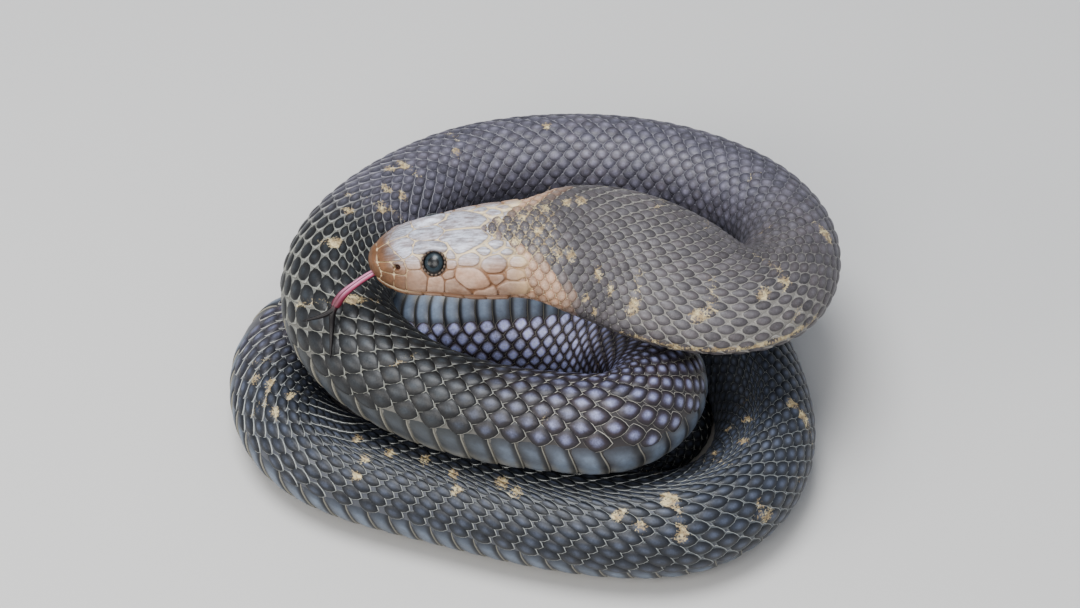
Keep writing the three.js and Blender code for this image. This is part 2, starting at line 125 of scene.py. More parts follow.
# Narrow pale bands across the back, by distance, and the flecks of cream: distance and degrees.
BANDS = numbers("""
    56 68 83 98 121 143 164 207 234 252 268 287 306 331 367 392 418 441 466 494 519 535 546 568
    578 593 606 634 645 662 677 687 712 736 763 789 814 840 866 893 921 948""")[0]
FLECK_SIZE, DEGREE = 1.9, 0.2   # millimetres
FLECKS = numbers("""
    30 9, 32 -8, 35 16, 37 -12, 40 5, 42 -22, 44 26, 47 -30, 50 -34, 47 24, 52 60, 56 72, 55 32,
    60 40, 68 50, 81 41, 93 22, 98 20, 120 42, 207 22, 234 12, 250 38, 254 40, 261 22, 259 3,
    269 12, 275 41, 287 42, 306 45, 534 94, 537 75, 545 80, 543 55, 566 50, 570 72, 569 93, 575 56,
    584 54, 592 62, 594 78, 604 54, 608 61, 632 65, 637 74, 643 43, 645 86, 662 97, 664 -10,
    677 -18, 680 2, 671 12, 687 51, 685 69""")


# the body as a surface
def natural_spline(x, y):
    """Natural cubic spline through rows of values, as a function of the first argument."""
    n, h = len(x), np.diff(x)
    left = (np.diag(np.r_[1, 2 * (h[:-1] + h[1:]), 1]) + np.diag(np.r_[0, h[1:]], 1)
            + np.diag(np.r_[h[:-1], 0], -1))
    bend = np.diff(np.diff(y, axis=0) / h[:, None], axis=0)
    m = np.linalg.solve(left, np.pad(6 * bend, ((1, 1), (0, 0))))

    def value(t):
        t = np.asarray(t, float)
        k = np.clip(np.searchsorted(x, t, side="right") - 1, 0, n - 2)
        d, e, g = (t - x[k])[..., None], (x[k + 1] - t)[..., None], h[k][..., None]
        return ((m[k] * e ** 3 + m[k + 1] * d ** 3) / (6 * g)
                + (y[k] / g - m[k] * g / 6) * e + (y[k + 1] / g - m[k + 1] * g / 6) * d)
    return value


def distances(points):
    """Distance walked from the first point to each."""
    return np.r_[0, np.cumsum(np.linalg.norm(np.diff(points, axis=0), axis=1))]


chord = distances(ROUTE[:, :3])
spine = natural_spline(chord, ROUTE)
girth = natural_spline(np.sqrt(GIRTH[:, 0]), GIRTH[:, 1:])
fine = np.linspace(0, chord[-1], 8001)
walked = distances(spine(fine)[:, :3])


def table(rows, s):
    """A value read from rows of (distance, value)."""
    return np.interp(s, rows[:, 0], rows[:, 1])


def smooth(low, high, x):
    """0 below low, 1 above high, with no corner between."""
    t = np.clip((np.asarray(x, float) - low) / (high - low), 0, 1)
    return t * t * (3 - 2 * t)


def stretch(s, start, full, fade, end):
    """A mask along the body: 0 before start, 1 from full to fade, 0 past the end."""
    return smooth(start, full, s) * smooth(end, fade, s)


def unit(vectors):
    """Vectors made one long."""
    return vectors / np.maximum(np.linalg.norm(vectors, axis=-1, keepdims=True), 1e-9)


def flesh(s, a):
    """Point of the flesh at distance s and angle a (radians): the spine's point plus a rounded-box
    section, the back's height above and the belly's depth below, turned by the lean of the back.
    The section's power is 2, and on the head up to 2.4 above and 2.2 below."""
    u = np.interp(s, walked, fine)
    row = spine(u)
    along = unit(spine(u + 0.01)[..., :3] - spine(u - 0.01)[..., :3])
    up = unit(np.array([0, 0, 1.0]) - along * along[..., 2:3])
    side = np.cross(along, up)
    lean = np.radians(row[..., 3:4])
    back = up * np.cos(lean) + side * np.sin(lean)
    outer = side * np.cos(lean) - up * np.sin(lean)
    width, top, belly, rise = np.moveaxis(girth(np.sqrt(np.maximum(s, 0))), -1, 0)
    boxy = smooth(HEAD_END, HEAD_END - 14, s)
    c, d = np.cos(a), np.sin(a)
    power = 2 / (2 + np.where(c >= 0, 0.4, 0.2) * boxy)
    out = np.sign(d) * np.abs(d) ** power * width
    height = np.sign(c) * np.abs(c) ** power * np.where(c >= 0, top, belly) + rise
    return row[..., :3] + out[..., None] * outer + height[..., None] * back


def flesh_frame(s, a):
    """Point, outward direction, and millimetres for each unit of s and of a."""
    ds, da = 0.15, 0.012
    low = np.maximum(s - ds, 0.01)
    ahead = (flesh(s + ds, a) - flesh(low, a)) / (s + ds - low)[..., None]
    around = (flesh(s, a + da) - flesh(s, a - da)) / (2 * da)
    return (flesh(s, a), unit(np.cross(around, ahead)), np.linalg.norm(ahead, axis=-1),
            np.maximum(np.linalg.norm(around, axis=-1), 1e-3))


def raised(s, a, height):
    """Point of the flesh moved out by a height, and kept above the floor."""
    point, normal = flesh_frame(s, a)[:2]
    point = point + normal * height[..., None]
    lowest = FLOOR_GAP + 0.15 * np.maximum(height + COAT_DEPTH, 0)
    point[..., 2] = np.maximum(point[..., 2], lowest)
    return point


# The same angle as a share of the way round: 0 on the back, 1 where the belly plates begin, 2 on
# the middle of the belly, in equal lengths of skin.
SHARE_S = np.linspace(0.5, BODY_LENGTH, 971)
SHARE_V = np.linspace(0, 2, 161)


def share_table():
    """Angle for each distance and share, and the skin's length from back to belly plates."""
    a = np.linspace(0, np.pi, 241)
    width, top, belly, _ = np.moveaxis(girth(np.sqrt(SHARE_S)), -1, 0)
    high = np.where(np.cos(a) >= 0, top[:, None], belly[:, None]) * np.cos(a)
    wide = width[:, None] * np.sin(a)
    step = np.hypot(np.diff(wide, axis=1), np.diff(high, axis=1))
    length = np.c_[np.zeros(len(SHARE_S)), np.cumsum(step, axis=1)]
    edge = np.radians(table(BELLY_ANGLE, SHARE_S))
    angles = np.empty((len(SHARE_S), len(SHARE_V)))
    dorsal = np.empty(len(SHARE_S))
    for i, row in enumerate(length):
        dorsal[i] = np.interp(edge[i], a, row)
        want = np.where(SHARE_V <= 1, SHARE_V * dorsal[i],
                        dorsal[i] + (SHARE_V - 1) * (row[-1] - dorsal[i]))
        angles[i] = np.interp(want, row, a)
    return angles, dorsal


share_angles, share_length = share_table()


def angle_of(s, v):
    """Angle at distance s of the signed share v, read between the entries of the share table."""
    x = np.clip((s - SHARE_S[0]) / (SHARE_S[1] - SHARE_S[0]), 0, len(SHARE_S) - 1.001)
    w = np.mod(v + 2, 4) - 2
    y = np.clip(np.abs(w) / SHARE_V[1], 0, len(SHARE_V) - 1.001)
    i, j = x.astype(int), y.astype(int)
    p, q = x - i, y - j
    a, b = ((1 - q) * share_angles[k, j] + q * share_angles[k, j + 1] for k in (i, i + 1))
    return np.sign(w) * ((1 - p) * a + p * b)


# The head shields, each as its corners by distance and degrees.
HEAD_SHIELDS = (
    # rostral, frontal and mental, across the middle
    "-1 -107, 2.2 -104, 3.1 -80, 2.9 -68, 2.2 -41, 2.4 0, 2.2 41, 2.9 68, 3.1 80, 2.2 104, "
    "-1 107",
    "9.8 0, 11.8 9, 17 11, 19.1 0, 17 -11, 11.8 -9",
    "1.2 180, 3.2 158, 3.6 180, 3.2 202",
    # internasal, prefrontal, supraocular and parietal
    "2.4 0, 5.1 0, 6.7 24, 8.6 40, 5.4 42, 2.2 41",
    "5.1 0, 9.8 0, 11.8 9, 11.2 16, 10.9 31, 8.6 40, 6.7 24",
    "11.8 9, 17 11, 19.2 17, 19.8 26, 18.9 32, 15.8 31, 13.2 34, 10.9 31, 11.2 16",
    "19.1 0, 27.3 0, 28.5 4, 29.5 9, 28.4 16, 25.8 25, 22.8 33, 21.4 34, 20.4 26, 19.4 17, "
    "17 11",
    # nasal, in front of the nostril and behind it, and preocular
    "2.2 41, 5.4 42, 6.3 52, 6.1 68, 2.9 68",
    "5.4 42, 8.6 40, 8.9 48, 9.4 58, 9 67, 6.1 68, 6.3 52",
    "8.6 40, 10.9 31, 12.5 38, 12.9 50, 12.9 57, 9.4 58, 8.9 48",
    # postoculars, from the top down
    "19.8 26, 20.4 26, 21.4 34, 21.4 41, 18.9 41, 18.9 32",
    "18.9 41, 21.4 41, 21.6 50, 20.9 56, 18.8 57",
    "17.4 66, 18.8 57, 20.9 56, 20.6 69, 18.2 74",
    # temples, from the eye back
    "21.6 41, 22.6 34, 25.4 29.5, 27.1 36, 26.8 45, 25.7 50.5, 21.7 50.5",
    "25.7 26, 28.1 21.5, 29.8 27, 29 35, 27.4 36",
    "28.6 18.5, 30.3 12.5, 32.7 16, 32.6 22, 30.4 28",
    "31.2 31, 33.1 24, 34.8 28, 34.4 34, 32.8 36",
    "27 45, 28.3 36.5, 31.2 32, 33.1 41, 32.8 52, 31.3 59.5, 28.4 60.5, 26.8 51",
    "33.4 41, 34.5 35, 36.8 36, 37.7 44, 36.3 51, 33.6 50",
    "28.4 61.5, 32.2 61, 32.4 69, 30.3 80, 29.1 75",
    "32.6 56, 34 51, 36.7 54.5, 37.2 63, 34.8 71, 32.6 69",
    # upper lip, from the snout back
    "3.1 80, 2.9 68, 6.1 68, 5.8 99, 2.2 104",
    "6.1 68, 9 67, 8.7 98, 5.8 99",
    "9 67, 9.4 58, 12.9 57, 14.2 70, 13.4 98, 8.7 98",
    "14.2 70, 17.4 66, 18.2 74, 17.8 97, 13.4 98",
    "18.2 74, 20.6 69, 22 79, 23.5 86, 24.5 91, 24.6 97, 17.8 97",
    "21.2 52, 26 51.5, 27.9 61, 29.1 76, 28.8 80.5, 27 85, 23.5 86, 22 79, 20.6 69",
    "24.5 91, 25.5 86.5, 27.2 85.5, 28.9 81, 30.2 81, 30.6 90, 30.7 97, 24.6 97",
    "30.2 81, 32.7 72, 37.2 70.5, 37.8 80, 37.4 92, 33 97, 30.7 97, 30.6 90",
    # lower lip, from the snout back
    "1.4 112, 3.2 107, 5.6 106, 5.8 122, 3.2 150",
    "5.6 106, 8.8 105, 9.2 119, 5.8 122",
    "8.8 105, 12.4 104, 13.2 118, 9.2 119",
    "12.4 104, 17 103, 18.2 120, 13.2 118",
    "17 103, 22 103, 23.4 121, 18.2 120",
    "22 103, 27.4 103, 28.4 119, 23.4 121",
    "27.4 103, 33 102, 33.6 116, 28.4 119",
    # chin, front and back
    "3.9 179, 4.4 156, 6 124, 13 120, 13.4 150, 12.6 179",
    "12.8 179, 13.8 150, 13.4 121, 20.6 123, 20 160, 18.6 179",
)


def shield_outlines():
    """Every shield as corners in distance and radians. One that doesn't cross the middle of the
    back or of the chin stands on both sides."""
    outlines = []
    for text in HEAD_SHIELDS:
        s, a = numbers(text).T
        outlines.append(np.c_[s, np.radians(a)])
        if a.min() >= 0 and a.max() <= 180:
            outlines.append(outlines[-1][::-1] * (1, -1))
    return outlines


def seam_distance(s, a, s_mm, a_mm):
    """For points of the head: distance in millimetres to the nearest shield's rim, positive inside
    a shield and negative outside all, and the number of that shield. Inside, the distances to all
    sides are blended by -k log(sum exp(-d / k)), which rounds the corners."""
    best = np.full(s.shape, -9.0)
    which = np.zeros(s.shape, int)
    for number, corners in enumerate(SHIELDS):
        py = a + 2 * np.pi * np.round((corners[:, 1].mean() - a) / (2 * np.pi))
        reach, blend, inside = np.inf, 0.0, False
        for (x0, y0), (x1, y1) in zip(corners, np.roll(corners, -1, axis=0)):
            ex, ey = (x1 - x0) * s_mm, (y1 - y0) * a_mm
            qx, qy = (s - x0) * s_mm, (py - y0) * a_mm
            t = np.clip((qx * ex + qy * ey) / np.maximum(ex * ex + ey * ey, 1e-9), 0, 1)
            side = np.hypot(qx - t * ex, qy - t * ey)
            reach = np.minimum(reach, side)
            blend = blend + np.exp(-side / CORNER_BLEND)
            at = x0 + (py - y0) * (x1 - x0) / (y1 - y0 or 1)
            inside = inside ^ (((y0 > py) != (y1 > py)) & (s < at))
        rounded = np.maximum(-CORNER_BLEND * np.log(np.maximum(blend, 1e-12)), -0.15)
        signed = np.where(inside, rounded, -reach)
        nearer = signed > best
        best = np.where(nearer, signed, best)
        which = np.where(nearer, number, which)
    return best, which


SHIELDS = shield_outlines()


def mouth_angle(s):
    """Angle of the line of the mouth: low at the snout, rising a little along the jaw."""
    return np.radians(100 + 8 * np.exp(-s / 3) - 2 * np.sin(np.pi * np.minimum(s / MOUTH_END, 1)))


def head_relief(s, a):
    """Height of the head's skin over the flesh, and its seam, tone, pit and lid masks.

    A shield rises by 0.3 mm over a fifth of a millimetre from its seam, then swells slightly. The
    mouth is a groove, and the nostril a pit in a low rim. A brow stands over each eye, more on the
    far side, and the skin drops into a socket behind the ball."""
    _, _, s_mm, a_mm = flesh_frame(s, a)

    def away(place):
        """Millimetres along and round the head from a place, the same on both sides."""
        return (s - place[0]) * s_mm, (np.abs(a) - np.radians(place[1])) * a_mm

    inside, which = seam_distance(s, a, s_mm, a_mm)
    swell = 1 - np.exp(-np.maximum(inside, 0) / 1.1)
    height = (-0.1 + 0.3 * smooth(0.02, 0.2, inside) + 0.2 * swell) * smooth(0.2, 1.6, s)
    height -= (COAT_DEPTH - 0.12) * smooth(0.1, -0.5, inside) * smooth(26, 30, s)
    lip = (np.abs(a) - mouth_angle(s)) * a_mm
    groove = np.exp(-(lip / 0.24) ** 2) * smooth(MOUTH_END + 2.5, MOUTH_END - 1, s)
    height -= 0.75 * groove * smooth(0, 2, s)
    ahead, across = away(NOSTRIL)
    pit = np.exp(-np.hypot(ahead / 0.85, across / 0.62) ** 4)
    rim = np.exp(-((np.hypot(ahead, across) - 1.05) / 0.3) ** 2)
    height += 0.14 * rim - 1.3 * pit
    eye = np.hypot(*away(EYE_STATION))
    above = np.radians(EYE_STATION[1]) - np.abs(a)
    brow = smooth(7.5, 3.4, eye) * smooth(0.05, 0.5, above) * smooth(1.1, 0.6, above)
    height += np.where(a > 0, 0.65, 1.15) * brow
    socket = smooth(2.9, 2.5, eye)
    height = height * (1 - socket) - 1.2 * socket
    seam = np.exp(-(inside / np.where(inside < 0, 0.4, 0.11)) ** 2)
    tone = np.random.default_rng(SEED).random(len(SHIELDS))[which]
    # pit: the mouth's groove and the nostril's pit, painted dark by the skin's finish as painted
    # shade
    return height, seam, tone, np.maximum(groove, pit), smooth(3.5, 2.8, eye)


# markings, for skin and coat
def noise(s, a, seed):
    """A smooth random value from -1 to 1: a sum of slow waves of s and a."""
    draw = np.random.default_rng(seed)
    total = 0.0
    for along, around in draw.normal(size=(7, 2)):
        phase = draw.random() * 2 * np.pi
        total = total + np.sin(along * s / 7 + np.round(around * 3) * a + phase)
    return np.clip(total / 3.2, -1, 1)


# Stretches of the body with a colour of their own: start, full, fade and end. The inner coil under
# the head has no colour of its own: the finishes paint it brighter, as painted light.
STRETCHES = {"hood": (24, 36, 104, 150), "brown": (258, 284, 338, 374),
             "front": (318, 346, 500, 540), "inner": (410, 436, 470, 505)}


def markings(s, a):
    """Masks from 0 to 1 at places of the body: cream of the bands, the flecks, the hood's edge and
    the nape, tan of the head, dark of the ground coil and tail, and each of STRETCHES."""
    deg = np.abs(np.degrees(a))
    sway = s + 2.6 * np.sin(2.2 * a + s / 31) + 0.035 * deg
    gap = np.abs(sway[..., None] - BANDS).min(-1)
    band = np.exp(-(gap / 2.0) ** 2) * smooth(-0.1, 0.6, noise(s, a, 5))
    near = np.hypot(s[..., None] - FLECKS[:, 0],
                    (np.degrees(a)[..., None] - FLECKS[:, 1]) * DEGREE).min(-1)
    cream = 0.6 * band * smooth(128, 96, deg) + np.exp(-(near / FLECK_SIZE) ** 2)
    edge = np.exp(-((deg - 85) / 9) ** 2) * stretch(s, 62, 72, 98, 112)
    nape = stretch(s, 26, 29, 42, 52) * smooth(62, 34, deg)
    cream = np.clip(np.maximum(cream * smooth(27, 31, s) + 0.85 * edge, 0.62 * nape), 0, 1)
    reach = 27 + 0.33 * np.minimum(deg, 65) + 2 * noise(s, a, 8)
    masks = {key: stretch(s, *ends) for key, ends in STRETCHES.items()}
    return masks | {"cream": cream, "tan": smooth(reach + 3, reach - 4, s),
                    "dark": smooth(500, 540, s)}


# making objects and meshes
def add_object(name, data, place=(0, 0, 0), target=None):
    """A new object of the scene at a place, turned to look at the target if it has one."""
    made = bpy.data.objects.new(name, data)
    made.location = place
    if target:
        made.rotation_euler = (target - made.location).to_track_quat("-Z", "Y").to_euler()
    bpy.context.scene.collection.objects.link(made)
    return made


def piece(name, points, faces, masks, finish, replaced=(), bake_map=None):
    """A mesh object at the origin, in metres, from points in millimetres, with float masks, and
    UV map OFBake where a place for each vertex is given."""
    mesh, shape = bpy.data.meshes.new(name), points.shape[:-1]
    mesh.from_pydata((points.reshape(-1, 3) - MIDDLE) * 0.001, [], faces)
    for key, values in masks.items():
        layer = mesh.attributes.new(key, "FLOAT", "POINT")
        layer.data.foreach_set("value", np.broadcast_to(values, shape).astype(np.float32).ravel())
    if bake_map:
        corner = np.empty(len(mesh.loops), np.int32)
        mesh.loops.foreach_get("vertex_index", corner)
        place = np.stack([u.ravel() for u in bake_map], -1)[corner].astype(np.float32)
        mesh.uv_layers.new(name="OFBake").data.foreach_set("uv", place.ravel())
    mesh.shade_smooth()
    mesh.materials.append(finish)
    made = add_object(name, mesh)
    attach(made, "root")
    if replaced:
        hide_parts(*replaced)


def grid_faces(rows, columns, start=0, closed=True):
    """Quads of points laid out row after row, each row a closed ring or open."""
    i, j = np.meshgrid(np.arange(rows - 1), np.arange(columns - 1 + closed), indexing="ij")
    k = (j + 1) % columns
    quads = np.stack([i * columns + j, (i + 1) * columns + j, (i + 1) * columns + k,
                      i * columns + k], -1)
    return quads.reshape(-1, 4) + start


def fan(ring, columns, tip):
    """Triangles from a closed ring, given by its first point, to one point."""
    j = np.arange(columns)
    return np.stack([ring + j, ring + (j + 1) % columns, np.full(columns, tip)], -1)


def ring_angles(count):
    """Equal angles once round."""
    return np.arange(count) * 2 * np.pi / count


# skin
HEAD_COLUMNS = 288
BODY_COLUMNS = 96


def head_angles():
    """Angles of the head's columns, closer together round the eyes and wider under the jaw."""
    a = np.linspace(0, 180, 721)
    dense = 1 + 1.3 * np.exp(-((a - 43) / 17) ** 2) - 0.6 * smooth(112, 130, a)
    way = np.r_[0, np.cumsum((dense[1:] + dense[:-1]) / 2)]
    half = np.interp(np.linspace(0, way[-1], HEAD_COLUMNS // 2 + 1), way, a)
    return np.radians(np.r_[half, -half[-2:0:-1]])


def skin_faces(head_rings, body_rings):
    """Quads along the head and the body, a row of six-sided faces between them, as a body ring has
    a third of the head's columns, and a fan to the snout and to the tail's tip."""
    body = head_rings * HEAD_COLUMNS
    snout = body + body_rings * BODY_COLUMNS
    j = np.arange(BODY_COLUMNS)
    edge = body - HEAD_COLUMNS
    joint = [body + j, edge + 3 * j, edge + 3 * j + 1, edge + 3 * j + 2,
             edge + (3 * j + 3) % HEAD_COLUMNS, body + (j + 1) % BODY_COLUMNS]
    parts = (grid_faces(head_rings, HEAD_COLUMNS)[:, ::-1],
             grid_faces(body_rings, BODY_COLUMNS, body)[:, ::-1], np.stack(joint, -1),
             fan(0, HEAD_COLUMNS, snout)[:, ::-1],
             fan(snout - BODY_COLUMNS, BODY_COLUMNS, snout + 1))
    return [face for part in parts for face in part.tolist()]


def build_skin(finish):
    """Snout to tail tip as rings: fine with its relief on the head, plain along the body."""
    head_a = head_angles()
    head_s = np.interp(np.arange(205), [0, 9, 60, 113, 204], [0.03, 1.2, 12, 20.5, HEAD_END])
    s, a = np.meshgrid(head_s, head_a, indexing="ij")
    height, *relief = head_relief(s, a)
    head = raised(s, a, height)

    body_s = np.interp(np.arange(399), [0, 11, 395, 397, 398],
                       [HEAD_END + 0.5, 60, BODY_LENGTH - 3, BODY_LENGTH - 1, BODY_LENGTH - 0.3])
    half = np.linspace(0, 180, BODY_COLUMNS // 2 + 1)
    relax = smooth(HEAD_END, 62, body_s)[:, None]
    body_a = head_a[::3] * (1 - relax) + np.radians(np.r_[half, -half[-2:0:-1]]) * relax
    body_s = np.repeat(body_s[:, None], BODY_COLUMNS, axis=1)
    body = raised(body_s, body_a, -COAT_DEPTH * smooth(0, 20, BODY_LENGTH + 8 - body_s))

    ends = flesh(np.array([0.0, BODY_LENGTH]), np.zeros(2))
    ends[1, 2] = max(ends[1, 2] - 0.5, 0.4)
    points = np.concatenate([head.reshape(-1, 3), body.reshape(-1, 3), ends])

    all_s = np.r_[s.ravel(), body_s.ravel(), 0, BODY_LENGTH]
    all_a = np.r_[a.ravel(), body_a.ravel(), 0, 0]
    deg = np.abs(np.degrees(all_a))
    masks = markings(all_s, all_a)
    relief.append(smooth(SHIELDS_END + 3, SHIELDS_END - 6, s))
    for key, values in zip(("seam", "tone", "pit", "lid", "plate"), relief):
        past = np.full(len(all_s) - s.size, 0.5 if key == "tone" else 0.0)
        masks[key] = np.r_[values.ravel(), past]
    masks["along"], masks["around"] = all_s, all_a * HEAD_RADIUS
    # crown: the top of the head, coloured grey with a painted sheen by the skin's finish
    masks["crown"] = smooth(62, 24, deg) * smooth(3, 9, all_s)
    masks["snout"] = smooth(15, 4, all_s) * smooth(150, 110, deg)
    flesh_nodes = [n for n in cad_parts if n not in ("eye_near", "eye_far", "tongue")]
    piece("skin", points, skin_faces(len(head_s), len(body_s)), masks, finish,
          flesh_nodes)


# scales
def scale_pattern(spokes=12):
    """One scale on the plane, its half length and half width being 1. The whole scale's outline
    is |x|^p + |y|^p = 1 with OUTLINE_POWER, so neighbours meet along straight edges, and the raised
    middle's has REAR_POWER behind and FRONT_POWER in front. The rings are shares of the middle,
    then steps from its rim to the whole outline, each with its share of the dome's height."""
    turn = ring_angles(spokes)
    c, d = np.cos(turn), np.sin(turn)

    def outline(power):
        return (np.abs(c) ** power + np.abs(d) ** power) ** (-1 / power)

    inner = outline(np.where(c > 0, REAR_POWER, FRONT_POWER))
    middle, margin = (0.42, 0.76, 0.98), (0.22, 0.8, 1.08)
    dome = np.array([0.88, 0.56, 0.13, 0, 0.04, -0.6])
    tip, rings = np.roll(fan(1, spokes, 0), 1, axis=1), grid_faces(len(dome), spokes, 1)
    return c, d, inner, outline(OUTLINE_POWER), middle, margin, dome, tip, rings


pitch_steps = np.linspace(18, BODY_LENGTH, 4000)
pitch_count = np.r_[0, np.cumsum(np.diff(pitch_steps)
                                 / table(SCALE_PITCH, (pitch_steps[1:] + pitch_steps[:-1]) / 2))]


def row_share(t, s):
    """Share at which the row t = j / (J + 1/2) stands, and its rate of change. Rows widen a little
    towards the belly: .885 u + .115 u^3. Beside the back on the left, and along a line that climbs
    to the back on the ground coil, they are pressed together: u is t with a step of the hyperbolic
    tangent taken out."""
    press = 0.13 * stretch(s, 244, 262, 290, 314) + 0.27 * stretch(s, 545, 570, 690, 715)
    middle = np.interp(s, [320, 560, 600, 630, 650, 670], [0.18, 0.42, 0.4, 0.28, 0.14, 0.06])
    reach = 0.28
    front, back = np.tanh((1 - middle) / reach), np.tanh((-1 - middle) / reach)
    step = np.tanh((t - middle) / reach)
    u = t + press * ((front - back) / 2 * t + (front + back) / 2 - step)
    rate = 1 + press * ((front - back) / 2 - (1 - step ** 2) / reach)
    return 0.885 * u + 0.115 * u ** 3, (0.885 + 0.345 * u ** 2) * rate


def slant(s):
    """How far the rows of the ground coil are drawn back for each millimetre down its side."""
    return 0.6 * stretch(s, 535, 580, 600, 655)


def scale_places(start, end):
    """Centres of the scales between two distances, as s, share and share of one row. Every other
    row is half a scale further back. The head's shields and the mouth are left clear."""
    low, high = np.interp([start, end], pitch_steps, pitch_count)
    along, row = np.meshgrid(np.arange(int(low) - 5, int(high) + 6), np.arange(-16, 17),
                             indexing="ij")
    s = np.interp(along + 0.5 * (row % 2), pitch_count, pitch_steps)
    rows = table(ROWS_A_SIDE, s) + 0.5
    v, rate = row_share(row / rows, s)
    s = s + slant(s) * np.interp(s, SHARE_S, share_length) * (np.clip(v, 0, 1) - 0.5)
    keep = (np.abs(row / rows) < 1.0) & (s >= start) & (s < end) & (s < BODY_LENGTH - 4)
    s, v, width = s[keep], v[keep], (rate / rows)[keep]
    a = angle_of(s, v)
    _, _, s_mm, a_mm = flesh_frame(s, a)
    near = s < 41
    clear = s > 26 - 6 * smooth(100, 125, np.abs(np.degrees(a)))
    clear[near] &= seam_distance(s[near], a[near], s_mm[near], a_mm[near])[0] < -0.25
    clear &= (np.abs(np.abs(a) - mouth_angle(s)) * a_mm > 0.9) | (s > MOUTH_END + 2)
    return s[clear], v[clear], width[clear]


def build_coat(name, start, end, finish):
    """Scales set over the skin: each pattern turned a little towards the belly, laid along the
    skin by its own distances, and lifted by its dome, its hind edge over the next scale. Scales
    lengthen a little on outer bends and crowd on inner ones."""
    c, d, inner, whole, middle, margin, dome, tip, rings = scale_pattern()
    s, v, width = (values[:, None] for values in scale_places(start, end))
    a = angle_of(s, v)
    s_mm = flesh_frame(s, a)[2]
    draw = np.random.default_rng(SEED + int(start))
    tone, tint = draw.random(s.shape), draw.random(s.shape)
    # painted light: scales of the ground coil from 632 to 730 mm, which lie in shade, are made
    # brighter through their tone
    tone = tone + 1.1 * stretch(s, 632, 672, 700, 730)
    pitch, bare = table(SCALE_PITCH, s), table(OPEN_SKIN, s)
    arc = np.interp(s, SHARE_S, share_length)
    share = table(RAISED_SHARE, s) * (1 + 0.06 * (draw.random(s.shape) - 0.5))
    share = np.clip(share - 0.12 * (s_mm - 1.1), 0.6, 0.95)
    rim = np.minimum(share * inner * (1 + 0.22 * bare * c ** 2), 0.96 * whole)
    reach = np.concatenate([rim * m for m in middle]
                           + [rim + (whole - rim) * m for m in margin], axis=1)

    def pattern(values):
        """A row of values for each scale: 0 at its middle, then ring after ring."""
        return np.c_[np.zeros(len(s)), values]

    rounds = len(dome)
    x, y = pattern(reach * np.tile(c, rounds)), pattern(reach * np.tile(d, rounds))
    long = pitch * np.clip(s_mm, 0.6, 1.3) * HALF_LENGTH
    wide = width * arc * HALF_WIDTH
    lean = np.radians(LEAN + LEAN_OF_SLANT * slant(s)) * np.sign(v) * smooth(0, 0.25, np.abs(v))
    px, py = x * long, y * wide
    here_s = s + (px * np.cos(lean) - py * np.sin(lean)) / np.maximum(s_mm, 0.35)
    here_v = v + (px * np.sin(lean) + py * np.cos(lean)) / arc
    here_s = np.clip(here_s, 0.5, BODY_LENGTH - 0.5)
    here_a = angle_of(here_s, here_v)
    swell = DOME + DOME_OF_SIZE * np.minimum(long, wide * 1.5) * share
    height = (LOWEST + swell * np.r_[1, np.repeat(dome, len(c))]
              + (HIND_LIFT + HIND_LIFT_OF_PITCH * pitch) * x)
    height *= 0.45 + 0.55 * smooth(0, 60, BODY_LENGTH - s)
    points = raised(here_s, here_a, height - COAT_DEPTH)
    masks = markings(s, a) | {"tone": tone, "tint": tint, "open": bare, "aft": x,
                              "rho": pattern(reach / np.tile(rim, rounds)),
                              "out": pattern(reach / np.tile(whole, rounds)),
                              "cream": markings(here_s, here_a)["cream"]}
    base = np.arange(len(s))[:, None, None] * x.shape[1]
    faces = [face for own in (tip, rings)
             for face in (base + own).reshape(-1, own.shape[1])[:, ::-1].tolist()]
    u = 0.01 + 0.98 * s / BODY_LENGTH + 0.0015 * x
    w = 0.5 + 0.48 * a / np.pi + 0.0015 * y
    piece(name, points, faces, masks, finish, bake_map=(u, w))


# belly plates
def build_belly(name, start, end, finish):
    """Wide plates across the belly: a grid over the share 1 to 2 on both sides, bowed towards the
    tail in the middle, its front edge under the last plate and its hind edge lifted over the next
    and turned down. The sides sink under the scales."""
    low, high = np.interp([start, end], pitch_steps, pitch_count)
    s0 = np.interp(np.arange(int(low) + 1, int(high)), pitch_count, pitch_steps)
    s0 = s0[s0 > THROAT_END][:, None, None]
    w = np.linspace(-1.13, 1.13, 23)
    t = np.r_[np.linspace(-0.5, 0.62, 5), 0.62][:, None]
    s = np.clip(s0 + table(SCALE_PITCH, s0) * (t + 0.3 * (1 - w ** 2)), 0.5, BODY_LENGTH - 0.5)
    a = angle_of(s, np.broadcast_to(2 + w, s.shape))
    lift = np.array([-0.25, 0.16, 0.38, 0.4, 0.3, 0.3])[:, None]
    height = (-COAT_DEPTH + lift * (0.25 + 0.75 * smooth(1.04, 0.88, np.abs(w)))
              - 0.4 * smooth(1.06, 1.13, np.abs(w)))
    height[-1] -= 0.32
    points = raised(s, a, np.broadcast_to(height, s.shape))
    faces = (np.arange(len(s0))[:, None, None] * len(t) * len(w)
             + grid_faces(len(t), len(w), closed=False))
    tone = np.random.default_rng(SEED + 3).random(s0.shape)
    masks = markings(s, a) | {"aft": t * 1.8, "rho": np.abs(w), "tone": tone}
    u = np.broadcast_to(0.01 + 0.98 * s0 / BODY_LENGTH + 0.0015 * t, s.shape)
    piece(name, points, faces.reshape(-1, 4)[:, ::-1].tolist(), masks, finish,
          bake_map=(u, 0.5 + 0.48 * a / np.pi))


# eyes
def eye_frame(sign):
    """Centre of an eye, and its axes: out, ahead and across."""
    s, a = np.array([EYE_STATION[0]]), np.array([sign * np.radians(EYE_STATION[1])])
    point, out = flesh_frame(s, a)[:2]
    ahead = flesh(s + 0.2, a) - flesh(s - 0.2, a)
    ahead = unit(ahead - out * (ahead * out).sum(-1, keepdims=True))
    across = np.cross(out, ahead)
    return (point - EYE_SINK * out)[0], out[0], ahead[0], across[0], point[0]


